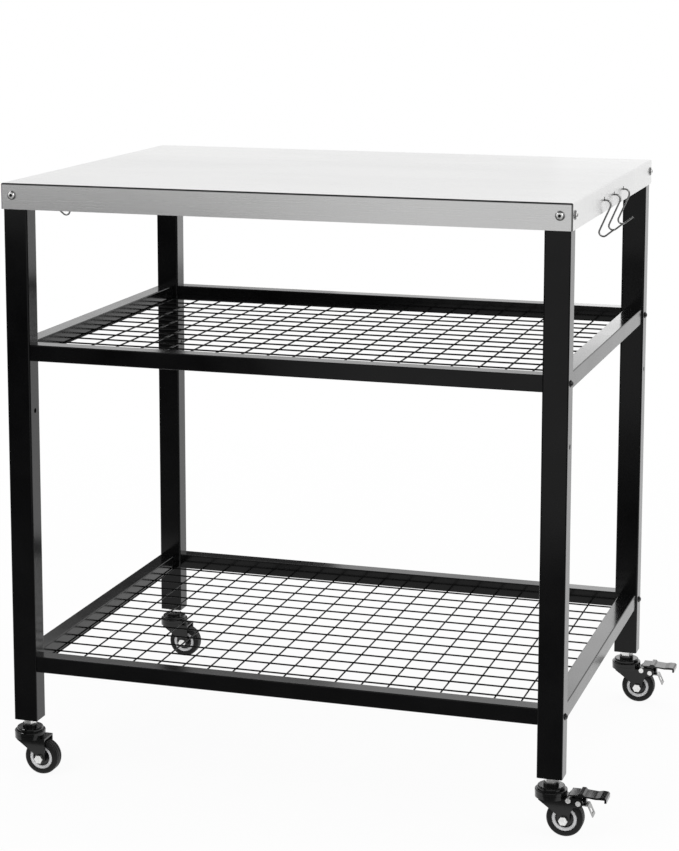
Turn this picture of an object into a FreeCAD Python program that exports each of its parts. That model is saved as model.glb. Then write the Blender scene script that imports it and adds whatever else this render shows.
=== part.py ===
import FreeCAD, Part
import Sketcher
import math
import os

# Outdoor pizza oven table on four swivel casters, in millimetres.
# X runs along the width, Y from front to back, Z up. The pieces are drawn about the middle of
# the table, on the floor, and each is then shifted along X by the same small amount, so that
# the origin lies under the middle of the whole outline, with its pedals and hooks.

doc = FreeCAD.newDocument("OvenTable")

# Driving dimensions
DIMENSIONS = {
    # stainless top: one folded sheet with hemmed skirts
    "top_width": 800.0,
    "top_depth": 600.0,
    "table_height": 850.0,
    "apron_height": 36.0,
    "sheet_wall": 1.2,
    "hem_height": 10.0,
    "pan_corner_radius": 2.4,
    "pan_to_leg_gap": 0.1,
    # hat-shaped stiffeners under the top
    "stiffener_offset": 150.0,
    "stiffener_crown": 34.0,
    "stiffener_depth": 16.0,
    "stiffener_flange": 13.0,
    "stiffener_wall": 1.5,
    "stiffener_end_gap": 0.5,
    # legs
    "leg_width": 35.0,
    "leg_depth": 30.0,
    "leg_wall": 1.5,
    "leg_corner_radius": 2.5,
    "leg_foot_height": 80.0,
    "plug_height": 14.0,
    "spare_hole_drop": 84.0,
    "spare_hole_radius": 3.5,
    # shelf rails
    "rail_width": 25.0,
    "rail_height": 23.0,
    "rail_wall": 1.5,
    "rail_corner_radius": 1.5,
    "low_rail_underside": 152.0,
    "mid_rail_underside": 601.5,
    "end_plate": 4.0,
    # wire mesh
    "wire_radius": 1.15,
    "wire_pitch": 38.0,
    "mesh_lift": 3.0,
    "edge_wire_inset": 2.7,
    "wire_end_gap": 0.5,
    # shelf bolts and top screws
    "bolt_radius": 3.0,
    "bolt_head_radius": 4.9,
    "bolt_head_height": 3.0,
    "bolt_bite": 12.0,
    "bolt_hole_radius": 3.3,
    "screw_radius": 3.0,
    "screw_head_radius": 6.3,
    "screw_head_height": 3.4,
    "screw_length": 11.0,
    "screw_hole_radius": 3.2,
    "screw_drop": 16.5,
    "screw_inset_x": 16.7,
    "screw_inset_y": 14.7,
    "socket_flats": 4.0,
    "socket_depth": 1.8,
    "rivet_nut_radius": 4.4,
    "rivet_nut_flange_radius": 5.6,
    "rivet_nut_flange": 0.9,
    "rivet_nut_length": 9.0,
    "thread_gap": 0.05,
    # S-hooks and their holes in the side skirts
    "hook_hole_radius": 3.0,
    "hook_hole_drop": 18.0,
    "hook_pitch": 72.0,
    "hook_forward_shift": 12.0,
    "hook_wire_radius": 1.25,
    "hook_seat_gap": 0.05,
    "hook_inner_reach": 6.2,
    "hook_outer_reach": 8.6,
    "hook_arm_reach": 14.5,
    "hook_drop": 50.6,
    "hook_tail_lean": 0.6,
    "hook_tail_drop": 6.5,
    "hook_crown_bend": 3.6,
    "hook_shoulder_bend": 6.4,
    "hook_elbow_drop": 8.5,
    "hook_elbow_bend": 8.0,
    "hook_heel_rise": 3.1,
    "hook_heel_bend": 5.6,
    "hook_toe_shift": 0.5,
    "hook_toe_bend": 6.0,
    "hook_arm_rise": 11.1,
    # caster
    "caster_trail": 20.0,
    "wheel_radius": 25.0,
    "wheel_width": 20.0,
    "tyre_shoulder": 4.5,
    "hub_radius": 17.5,
    "hub_dish_radius": 12.4,
    "hub_ring_width": 17.0,
    "hub_web_width": 11.0,
    "hub_boss_radius": 6.8,
    "hub_ring_edge": 0.9,
    "bond_gap": 0.03,
    "fork_wall": 2.2,
    "fork_inner_width": 24.6,
    "fork_side_gap": 0.4,
    "fork_lobe_radius": 8.2,
    "fork_back_reach": 14.5,
    "fork_plate_underside": 52.0,
    "fork_back_lip": 2.0,
    "fork_crown_radius": 21.8,
    "fork_crown_height": 5.0,
    "cup_radius": 22.0,
    "cup_rim_height": 5.6,
    "cup_dome_height": 4.8,
    "cup_dome_radius": 18.8,
    "cup_dome_bevel": 2.0,
    "cup_rim_bevel": 1.2,
    "cup_neck_radius": 10.6,
    "race_gap": 0.3,
    "stem_radius": 5.0,
    "stem_thread_length": 12.0,
    "stem_head_radius": 8.0,
    "stem_head_height": 2.7,
    "stem_nut_flats": 17.0,
    "stem_nut_height": 8.0,
    "axle_radius": 3.0,
    "axle_flats": 11.0,
    "axle_head_height": 4.4,
    "axle_end": 1.5,
    "running_gap": 0.06,
    # caster brake: two pins through the fork, a pedal on the outer one and a leaf on the inner one
    "leaf_pin_x": 26.0,
    "leaf_pin_z": 53.2,
    "leaf_pin_radius": 1.5,
    "pedal_pin_x": 39.5,
    "pedal_pin_z": 50.5,
    "pedal_pin_radius": 2.0,
    "brake_pin_head_radius": 3.6,
    "brake_pin_head_height": 1.6,
    "brake_lobe_radius": 6.4,
    "brake_cheek_start": 22.6,
    "pedal_plate": 2.0,
    "pedal_lift": 8.8,
    "pedal_reach": 77.0,
    "pedal_heel": 12.5,
    "pedal_width": 27.0,
    "pedal_rib": 2.6,
    "pedal_rib_start": -1.5,
    "pedal_rib_slope": 2.2,
    "pedal_rib_flat": 5.0,
    "pedal_toe_length": 15.0,
    "pedal_toe_dip": 1.0,
    "pedal_toe_crest": 8.5,
    "pedal_toe_rise": 0.4,
    "pedal_lip_width": 2.8,
    "pedal_lip_drop": 5.0,
    "ear_wall": 2.0,
    "ear_gap": 0.3,
    "ear_radius": 4.8,
    "cam_radius": 2.0,
    "cam_reach": 7.0,
    "cam_width": 9.0,
    "cam_gap": 0.3,
    "leaf_wall": 1.2,
    "leaf_width": 17.0,
    "leaf_eye_out": 1.5,
    "leaf_eye_down": 1.6,
    "leaf_slope_out": 7.0,
    "leaf_slope_down": 5.8,
    "leaf_flat_start": 11.5,
    "leaf_flat_end": 25.0,
    "leaf_flat_down": 7.8,
    "leaf_tab_out": 31.5,
    "leaf_tab_down": 22.0,
    "leaf_window_width": 8.0,
    "leaf_window_height": 6.5,
}

sheet = doc.addObject("Spreadsheet::Sheet", "Sizes")
for row, (alias, number) in enumerate(DIMENSIONS.items(), start=1):
    sheet.set(f"A{row}", alias)
    sheet.set(f"B{row}", str(number))
    sheet.setAlias(f"B{row}", alias)
doc.recompute()


class Size:
    """A number together with the expression that gives it from the sheet."""

    def __init__(self, number, text):
        self.number = float(number)
        self.text = text

    def __add__(self, other):
        other = as_size(other)
        return Size(self.number + other.number, f"({self.text} + {other.text})")

    def __sub__(self, other):
        other = as_size(other)
        return Size(self.number - other.number, f"({self.text} - {other.text})")

    def __mul__(self, other):
        other = as_size(other)
        return Size(self.number * other.number, f"({self.text} * {other.text})")

    def __truediv__(self, other):
        other = as_size(other)
        return Size(self.number / other.number, f"({self.text} / {other.text})")

    def __neg__(self):
        return Size(-self.number, f"(0 - {self.text})")

    def __rsub__(self, other):
        return as_size(other) - self

    def __float__(self):
        return self.number

    __radd__ = __add__
    __rmul__ = __mul__


def as_size(value):
    if isinstance(value, Size):
        return value
    return Size(value, f"({float(value)!r})")


def dim(alias):
    return Size(sheet.get(alias), f"Sizes.{alias}")


# Helpers that make one object each and bind its sizes to the sheet
TURNS = {
    "+X": FreeCAD.Rotation(FreeCAD.Vector(0, 1, 0), 90),
    "-X": FreeCAD.Rotation(FreeCAD.Vector(0, 1, 0), -90),
    "+Y": FreeCAD.Rotation(FreeCAD.Vector(1, 0, 0), -90),
    "-Y": FreeCAD.Rotation(FreeCAD.Vector(1, 0, 0), 90),
    "+Z": FreeCAD.Rotation(),
}


def bind(obj, prop, size):
    obj.setExpression(prop, as_size(size).text)


def place(obj, spot):
    for letter, size in zip("xyz", spot):
        bind(obj, f"Placement.Base.{letter}", size)


def box(name, size, spot):
    obj = doc.addObject("Part::Box", name)
    for prop, value in zip(("Length", "Width", "Height"), size):
        bind(obj, prop, value)
    place(obj, spot)
    return obj


def cylinder(name, radius, length, spot, along="+Z"):
    obj = doc.addObject("Part::Cylinder", name)
    bind(obj, "Radius", radius)
    bind(obj, "Height", length)
    obj.Placement.Rotation = TURNS[along]
    place(obj, spot)
    return obj


def hexagon(name, flats, length, spot, along="+Z"):
    obj = doc.addObject("Part::Prism", name)
    obj.Polygon = 6
    bind(obj, "Circumradius", as_size(flats) / math.sqrt(3))
    bind(obj, "Height", length)
    obj.Placement.Rotation = TURNS[along]
    place(obj, spot)
    return obj


def cut(name, base, tools):
    obj = doc.addObject("Part::Cut", name)
    obj.Base = base
    obj.Tool = tools[0] if len(tools) == 1 else compound(name + "_tools", tools)
    return obj


def fuse(name, parts):
    obj = doc.addObject("Part::MultiFuse", name)
    obj.Shapes = parts
    obj.Refine = True
    return obj


def compound(name, parts):
    obj = doc.addObject("Part::Compound", name)
    obj.Links = parts
    return obj


def rounded(name, base, radius, wanted):
    """Fillet the edges of base that the test wanted picks."""
    doc.recompute()
    edges = []
    for number, edge in enumerate(base.Shape.Edges, start=1):
        if wanted(edge):
            edges.append((number, float(radius), float(radius)))
    obj = doc.addObject("Part::Fillet", name)
    obj.Base = base
    obj.Edges = edges
    return obj


def runs_along(edge, letter):
    line = edge.Vertexes[-1].Point - edge.Vertexes[0].Point
    spans = {"X": abs(line.x), "Y": abs(line.y), "Z": abs(line.z)}
    return all(span < 1e-6 for key, span in spans.items() if key != letter)


def tube(name, size, spot, along, thick, corner):
    """Rectangular tube, open at both ends, with rounded long edges."""
    inner_size = []
    inner_spot = []
    for letter, length, start in zip("XYZ", size, spot):
        margin = 0 if letter == along else thick
        inner_size.append(length - 2 * margin)
        inner_spot.append(start + margin)
    outer = box(name + "_outside", size, spot)
    outer_round = rounded(name + "_outside_round", outer, corner, lambda edge: runs_along(edge, along))
    return cut(name + "_tube", outer_round, [box(name + "_inside", inner_size, inner_spot)])


def new_body(name):
    return doc.addObject("PartDesign::Body", name)


def new_sketch(body, name, plane):
    sketch = body.newObject("Sketcher::SketchObject", name)
    support = next(f for f in body.Origin.OriginFeatures if f.Role == plane)
    sketch.AttachmentSupport = [(support, "")]
    sketch.MapMode = "FlatFace"
    return sketch


def hold(sketch, constraint, size):
    index = sketch.addConstraint(constraint)
    sketch.setExpression(f"Constraints[{index}]", size.text)


def hold_point(sketch, curve, vertex, x, y):
    """Hold one end or centre of a curve at x, y from the sketch's origin."""
    for kind, size in (("DistanceX", as_size(x)), ("DistanceY", as_size(y))):
        hold(sketch, Sketcher.Constraint(kind, -1, 1, curve, vertex, float(size)), size)


def outline(sketch, points):
    """Closed run of straight lines, with each corner held from the sketch's origin."""
    vectors = [FreeCAD.Vector(float(as_size(x)), float(as_size(y)), 0) for x, y in points]
    first = sketch.GeometryCount
    count = len(points)
    for index in range(count):
        sketch.addGeometry(Part.LineSegment(vectors[index], vectors[(index + 1) % count]), False)
    for index, (x, y) in enumerate(points):
        after = first + (index + 1) % count
        sketch.addConstraint(Sketcher.Constraint("Coincident", first + index, 2, after, 1))
        hold_point(sketch, first + index, 1, x, y)


def ring(sketch, centre, radius):
    x, y = (as_size(value) for value in centre)
    middle = FreeCAD.Vector(float(x), float(y), 0)
    curve = sketch.addGeometry(Part.Circle(middle, FreeCAD.Vector(0, 0, 1), float(radius)), False)
    hold_point(sketch, curve, 3, x, y)
    hold(sketch, Sketcher.Constraint("Radius", curve, float(radius)), as_size(radius))


def extrude(kind, body, name, sketch, length, midplane=True):
    """Pad or Pocket of a sketch, to both sides of its plane unless midplane is off."""
    feature = body.newObject(f"PartDesign::{kind}", name)
    feature.Profile = sketch
    bind(feature, "Length", length)
    feature.Midplane = midplane
    return feature


def turn_profile(name, plane, axis_name, points):
    """Body turned from a half section about the sketch's own vertical or horizontal axis."""
    body = new_body(name + "_body")
    sketch = new_sketch(body, name + "_half_section", plane)
    outline(sketch, points)
    feature = body.newObject("PartDesign::Revolution", name + "_turned")
    feature.Profile = sketch
    feature.ReferenceAxis = (sketch, [axis_name])
    feature.Angle = 360.0
    return body


# Sizes that follow from the driving ones
wall = dim("sheet_wall")
half_width = dim("top_width") / 2
half_depth = dim("top_depth") / 2
apron_bottom = dim("table_height") - dim("apron_height")
top_underside = dim("table_height") - wall
skirt = 2 * wall + dim("pan_to_leg_gap")
leg_x = half_width - skirt
leg_y = half_depth - skirt
leg_axis_x = leg_x - dim("leg_width") / 2
leg_axis_y = leg_y - dim("leg_depth") / 2
rail_inset = (dim("leg_depth") - dim("rail_width")) / 2
side_rail_inner_x = leg_x - rail_inset - dim("rail_width")
cross_rail_inner_y = leg_y - rail_inset - dim("rail_width")
cross_rail_end_x = leg_x - dim("leg_width")
side_rail_end_y = leg_y - dim("leg_depth")
rail_middle = dim("rail_height") / 2
screw_x = half_width - dim("screw_inset_x")
screw_y = half_depth - dim("screw_inset_y")
screw_z = dim("table_height") - dim("screw_drop")
hook_z = dim("table_height") - dim("hook_hole_drop")
SHELVES = {"low": dim("low_rail_underside"), "mid": dim("mid_rail_underside")}
SIDES = {"left": -1, "right": 1}
ENDS = {"front": -1, "back": 1}
HOOK_ROWS = {"front": -1, "middle": 0, "back": 1}
MARGIN = 2.0

# The pedals reach out on the right and the hooks on the left
right_reach = leg_axis_x + dim("pedal_reach")
left_reach = half_width + dim("hook_arm_reach") + dim("hook_wire_radius") / 2
table_shift = (left_reach - right_reach) / 2


def hook_y(row):
    return HOOK_ROWS[row] * dim("hook_pitch") - dim("hook_forward_shift")


def inward(letter, sign):
    return f"+{letter}" if sign < 0 else f"-{letter}"


def outward(letter, sign):
    return f"-{letter}" if sign < 0 else f"+{letter}"


def corners():
    """Swivel axis of each caster, which is the middle of each leg."""
    return [
        (leg_axis_x * sx, leg_axis_y * sy, f"{end}_{side}")
        for end, sy in ENDS.items()
        for side, sx in SIDES.items()
    ]


NODES = {}


def node(name, obj):
    """Name a finished sub-part and shift it with the table."""
    obj.Label = name
    bind(obj, "Placement.Base.x", table_shift)
    NODES[name] = obj


def at(x, y, z, along="+Z"):
    return FreeCAD.Placement(FreeCAD.Vector(float(x), float(y), float(z)), TURNS[along])


def copies(name, master, placements):
    """Sub-part made of one copy of the master at each placement."""
    doc.recompute()
    shapes = []
    for placement in placements:
        shape = master.Shape.copy()
        shape.Placement = placement.multiply(shape.Placement)
        shapes.append(shape)
    group = doc.addObject("Part::Feature", name)
    group.Shape = Part.makeCompound(shapes)
    node(name, group)


# Stainless top: one sheet with skirts on all four sides, hemmed inward at the bottom
def make_tabletop():
    bottom = float(apron_bottom)
    hem_top = bottom + float(dim("hem_height"))
    outside = box(
        "pan_outside",
        (dim("top_width"), dim("top_depth"), dim("apron_height")),
        (-half_width, -half_depth, apron_bottom),
    )
    hollow = box(
        "pan_hollow",
        (
            dim("top_width") - 2 * wall,
            dim("top_depth") - 2 * wall,
            dim("apron_height") - wall - dim("hem_height"),
        ),
        (wall - half_width, wall - half_depth, apron_bottom + dim("hem_height")),
    )
    mouth = box(
        "pan_mouth",
        (dim("top_width") - 4 * wall, dim("top_depth") - 4 * wall, dim("hem_height") + MARGIN),
        (2 * wall - half_width, 2 * wall - half_depth, apron_bottom - MARGIN),
    )

    def above(level):
        return lambda edge: max(vertex.Point.z for vertex in edge.Vertexes) > level + 1e-3

    bend = dim("pan_corner_radius")
    shell = rounded("pan_outside_round", outside, bend, above(bottom))
    hollow_round = rounded("pan_hollow_round", hollow, bend - wall, above(hem_top))
    holes = []
    reach = 2 * wall + MARGIN
    for side, sx in SIDES.items():
        face_x = (half_width + MARGIN / 2) * sx
        for end, sy in ENDS.items():
            tag = f"{end}_{side}"
            face_y = (half_depth + MARGIN / 2) * sy
            radius = dim("screw_hole_radius")
            spot = (screw_x * sx, face_y, screw_z)
            holes.append(cylinder(f"screw_hole_{tag}_y", radius, reach, spot, inward("Y", sy)))
            spot = (face_x, screw_y * sy, screw_z)
            holes.append(cylinder(f"screw_hole_{tag}_x", radius, reach, spot, inward("X", sx)))
        for row in HOOK_ROWS:
            spot = (face_x, hook_y(row), hook_z)
            name = f"hook_hole_{side}_{row}"
            holes.append(cylinder(name, dim("hook_hole_radius"), reach, spot, inward("X", sx)))
    node("tabletop", cut("tabletop_cut", shell, [hollow_round, mouth] + holes))


# Hat section spot-welded under the top, from the front skirt to the back skirt
def make_stiffener(side):
    name = f"tabletop_stiffener_{side}"
    body = new_body(name + "_body")
    sketch = new_sketch(body, name + "_section", "XZ_Plane")
    thick = dim("stiffener_wall")
    centre = dim("stiffener_offset") * SIDES[side]
    half = dim("stiffener_crown") / 2
    brim = half + dim("stiffener_flange")
    low = top_underside - dim("stiffener_depth")
    left_half = [
        (centre - half, low),
        (centre - half, top_underside - thick),
        (centre - brim, top_underside - thick),
        (centre - brim, top_underside),
        (centre - half + thick, top_underside),
        (centre - half + thick, low + thick),
    ]
    right_half = [(2 * centre - x, z) for x, z in reversed(left_half)]
    outline(sketch, left_half + right_half)
    length = dim("top_depth") - 2 * skirt - 2 * dim("stiffener_end_gap")
    extrude("Pad", body, name + "_pad", sketch, length)
    node(name, body)


# Leg: rectangular tube with holes for rivet nuts, shelf bolts and a spare shelf height
def make_leg(end, side):
    sx = SIDES[side]
    sy = ENDS[end]
    name = f"leg_{end}_{side}"
    low_corner = (
        -leg_x if sx < 0 else leg_x - dim("leg_width"),
        -leg_y if sy < 0 else leg_y - dim("leg_depth"),
        dim("leg_foot_height"),
    )
    size = (dim("leg_width"), dim("leg_depth"), top_underside - dim("leg_foot_height"))
    post = tube(name, size, low_corner, "Z", dim("leg_wall"), dim("leg_corner_radius"))
    face_x = (leg_x + MARGIN / 2) * sx
    face_y = (leg_y + MARGIN / 2) * sy
    one_wall = dim("leg_wall") + MARGIN
    both_walls = dim("leg_width") + MARGIN
    nut = dim("rivet_nut_radius")
    spot_y = (screw_x * sx, face_y, screw_z)
    spot_x = (face_x, screw_y * sy, screw_z)
    holes = [
        cylinder(name + "_nut_hole_y", nut, one_wall, spot_y, inward("Y", sy)),
        cylinder(name + "_nut_hole_x", nut, one_wall, spot_x, inward("X", sx)),
    ]
    mid = SHELVES["mid"] + rail_middle
    levels = {
        "low": (SHELVES["low"] + rail_middle, dim("bolt_hole_radius")),
        "mid": (mid, dim("bolt_hole_radius")),
        "spare": (mid - dim("spare_hole_drop"), dim("spare_hole_radius")),
    }
    for level, (height, radius) in levels.items():
        spot = (face_x, leg_axis_y * sy, height)
        holes.append(cylinder(f"{name}_hole_{level}", radius, both_walls, spot, inward("X", sx)))
    node(name, cut(name + "_drilled", post, holes))


# The side rails are welded between the legs; the cross rails carry the mesh and are bolted on
def make_side_rail(shelf, side):
    name = f"{shelf}_side_rail_{side}"
    outer_x = side_rail_inner_x + dim("rail_width")
    low_corner = (side_rail_inner_x if SIDES[side] > 0 else -outer_x, -side_rail_end_y, SHELVES[shelf])
    size = (dim("rail_width"), 2 * side_rail_end_y, dim("rail_height"))
    node(name, tube(name, size, low_corner, "Y", dim("rail_wall"), dim("rail_corner_radius")))


def make_cross_rail(shelf, end):
    name = f"{shelf}_{end}_rail"
    outer_y = cross_rail_inner_y + dim("rail_width")
    low_corner = (-cross_rail_end_x, cross_rail_inner_y if ENDS[end] > 0 else -outer_y, SHELVES[shelf])
    size = (2 * cross_rail_end_x, dim("rail_width"), dim("rail_height"))
    node(name, tube(name, size, low_corner, "X", dim("rail_wall"), dim("rail_corner_radius")))


# Tapped plate welded inside each end of a cross rail
def make_end_plates():
    inner_y = dim("rail_width") - 2 * dim("rail_wall")
    inner_z = dim("rail_height") - 2 * dim("rail_wall")
    thick = dim("end_plate")
    blank = box("end_plate_blank", (thick, inner_y, inner_z), (0, -inner_y / 2, -inner_z / 2))
    radius = dim("bolt_radius") + dim("thread_gap")
    bore = cylinder("end_plate_bore", radius, thick + 2 * MARGIN, (-MARGIN, 0, 0), "+X")
    master = cut("end_plate_master", blank, [bore])
    places = []
    for underside in SHELVES.values():
        for sy in ENDS.values():
            for x in (-cross_rail_end_x, cross_rail_end_x - thick):
                places.append(at(x, leg_axis_y * sy, underside + rail_middle))
    copies("rail_end_plates", master, places)


def wire_places(reach):
    """Wires at the mesh pitch, set evenly about the middle and half a pitch clear of reach."""
    pitch = dim("wire_pitch")
    per_side = 1 + int((float(reach) - float(pitch)) // float(pitch))
    half = [(index + 0.5) * pitch for index in range(per_side)]
    return [-place for place in reversed(half)] + half


# Welded wire mesh: columns from front to back, and rows across on top of them
def make_mesh(shelf):
    radius = dim("wire_radius")
    column_z = SHELVES[shelf] + dim("mesh_lift")
    row_z = column_z + 2 * radius
    edge_x = side_rail_inner_x - dim("edge_wire_inset")
    row_end = side_rail_inner_x - dim("wire_end_gap")
    edge_end = side_rail_end_y - dim("wire_end_gap")
    columns = [(x, cross_rail_inner_y) for x in wire_places(edge_x)]
    columns += [(-edge_x, edge_end), (edge_x, edge_end)]
    wires = []
    for number, (x, end_y) in enumerate(columns):
        start = (x, -end_y, column_z)
        wires.append(cylinder(f"{shelf}_column_{number}", radius, 2 * end_y, start, "+Y"))
    for number, y in enumerate(wire_places(cross_rail_inner_y)):
        start = (-row_end, y, row_z)
        wires.append(cylinder(f"{shelf}_row_{number}", radius, 2 * row_end, start, "+X"))
    node(f"{shelf}_shelf_mesh", compound(f"{shelf}_mesh_wires", wires))


# Flanged button head, as shares of its radius and of its height
BUTTON_HEAD = [(1.0, 0.0), (1.0, 0.25), (0.84, 0.45), (0.60, 0.90), (0.45, 1.0), (0.0, 1.0)]


# Button-head bolt with a hexagon socket: shank down from zero, head up from zero
def button_bolt(name, radius, head_radius, head_height, length):
    half_section = [(0, -length), (radius, -length), (radius, 0)]
    for across, up in BUTTON_HEAD:
        half_section.append((head_radius * across, head_height * up))
    body = turn_profile(name, "XZ_Plane", "V_Axis", half_section)
    floor = head_height - dim("socket_depth")
    socket = hexagon(name + "_socket", dim("socket_flats"), dim("socket_depth") + MARGIN, (0, 0, floor))
    return cut(name + "_master", body, [socket])


def make_shelf_bolts():
    length = dim("leg_width") + dim("bolt_bite")
    head_radius = dim("bolt_head_radius")
    head_height = dim("bolt_head_height")
    master = button_bolt("shelf_bolt", dim("bolt_radius"), head_radius, head_height, length)
    places = []
    for underside in SHELVES.values():
        for sy in ENDS.values():
            for sx in SIDES.values():
                spot = (leg_x * sx, leg_axis_y * sy, underside + rail_middle)
                places.append(at(*spot, outward("X", sx)))
    copies("shelf_bolts", master, places)


def skirt_places(face_x, face_y):
    """The two fastener places at each corner of the top, seated on the given faces."""
    places = []
    for sx in SIDES.values():
        for sy in ENDS.values():
            places.append(at(screw_x * sx, face_y * sy, screw_z, outward("Y", sy)))
            places.append(at(face_x * sx, screw_y * sy, screw_z, outward("X", sx)))
    return places


def make_top_screws():
    head_radius = dim("screw_head_radius")
    head_height = dim("screw_head_height")
    radius = dim("screw_radius")
    master = button_bolt("top_screw", radius, head_radius, head_height, dim("screw_length"))
    copies("top_screws", master, skirt_places(half_width, half_depth))


# Rivet nut: flange outside the leg's wall, threaded barrel inside
def make_rivet_nuts():
    length = dim("rivet_nut_length")
    flange = dim("rivet_nut_flange")
    disc = cylinder("rivet_nut_disc", dim("rivet_nut_flange_radius"), flange, (0, 0, 0))
    barrel_radius = dim("rivet_nut_radius") - dim("thread_gap")
    barrel = cylinder("rivet_nut_barrel", barrel_radius, length, (0, 0, -length))
    bore_radius = dim("screw_radius") + dim("thread_gap")
    bore_length = length + flange + 2 * MARGIN
    bore = cylinder("rivet_nut_bore", bore_radius, bore_length, (0, 0, -length - MARGIN))
    master = cut("rivet_nut_master", fuse("rivet_nut_blank", [disc, barrel]), [bore])
    copies("rivet_nuts", master, skirt_places(leg_x, leg_y))


# Threaded plug welded flush in the foot of each leg
def make_leg_plugs():
    size_x = dim("leg_width") - 2 * dim("leg_wall")
    size_y = dim("leg_depth") - 2 * dim("leg_wall")
    height = dim("plug_height")
    blank = box("leg_plug_blank", (size_x, size_y, height), (-size_x / 2, -size_y / 2, 0))
    radius = dim("stem_radius") + dim("thread_gap")
    bore = cylinder("leg_plug_bore", radius, height + 2 * MARGIN, (0, 0, -MARGIN))
    master = cut("leg_plug_master", blank, [bore])
    copies("leg_end_plugs", master, [at(x, y, dim("leg_foot_height")) for x, y, tag in corners()])


# Caster levels above the floor, and its places across
plate_bottom = dim("fork_plate_underside")
plate_top = plate_bottom + dim("fork_wall")
crown_top = plate_bottom + dim("fork_crown_height")
cup_bottom = crown_top + dim("race_gap")
cup_rim_top = cup_bottom + dim("cup_rim_height")
cup_dome_top = cup_rim_top + dim("cup_dome_height")
stem_nut_bottom = dim("leg_foot_height") - dim("stem_nut_height")
fork_half = dim("fork_inner_width") / 2 + dim("fork_wall")
trail = dim("caster_trail")
axle_z = dim("wheel_radius")
pedal_pin = (dim("pedal_pin_x"), dim("pedal_pin_z"))
leaf_pin = (dim("leaf_pin_x"), dim("leaf_pin_z"))


# Stem: threaded into the leg plug, with a lock nut, and riveted over inside the fork
def stem_master():
    head_top = plate_bottom - dim("race_gap")
    head_bottom = head_top - dim("stem_head_height")
    length = dim("leg_foot_height") + dim("stem_thread_length") - head_bottom
    shank = cylinder("stem_shank", dim("stem_radius"), length, (0, 0, head_bottom))
    head = cylinder("stem_head", dim("stem_head_radius"), dim("stem_head_height"), (0, 0, head_bottom))
    nut_height = dim("stem_nut_height")
    nut = hexagon("stem_nut", dim("stem_nut_flats"), nut_height, (0, 0, stem_nut_bottom))
    return fuse("stem_master", [shank, head, nut])


def rounded_step(radius, top, bend):
    """Outer corner of a half section, rounded in three straight steps on its way inward."""
    turns = [math.radians(angle) for angle in (0, 30, 60, 90)]
    centre_radius = radius - bend
    centre_height = top - bend
    return [(centre_radius + math.cos(turn) * bend, centre_height + math.sin(turn) * bend) for turn in turns]


# Pressed upper race, fixed on the stem above the fork
def cup_master():
    bore = dim("stem_radius") + dim("thread_gap")
    radius = dim("cup_radius")
    dome = dim("cup_dome_radius")
    neck = dim("cup_neck_radius")
    half_section = [(bore, cup_bottom), (radius, cup_bottom)]
    half_section += rounded_step(radius, cup_rim_top, dim("cup_rim_bevel"))
    half_section.append((dome, cup_rim_top))
    half_section += rounded_step(dome, cup_dome_top, dim("cup_dome_bevel"))
    half_section += [(neck, cup_dome_top), (neck, stem_nut_bottom), (bore, stem_nut_bottom)]
    return turn_profile("cup", "XZ_Plane", "V_Axis", half_section)


# Where the cheek's leading edge meets its axle lobe, as shares of the lobe's radius
CHEEK_LEAN = (0.8, 0.6)


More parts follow.
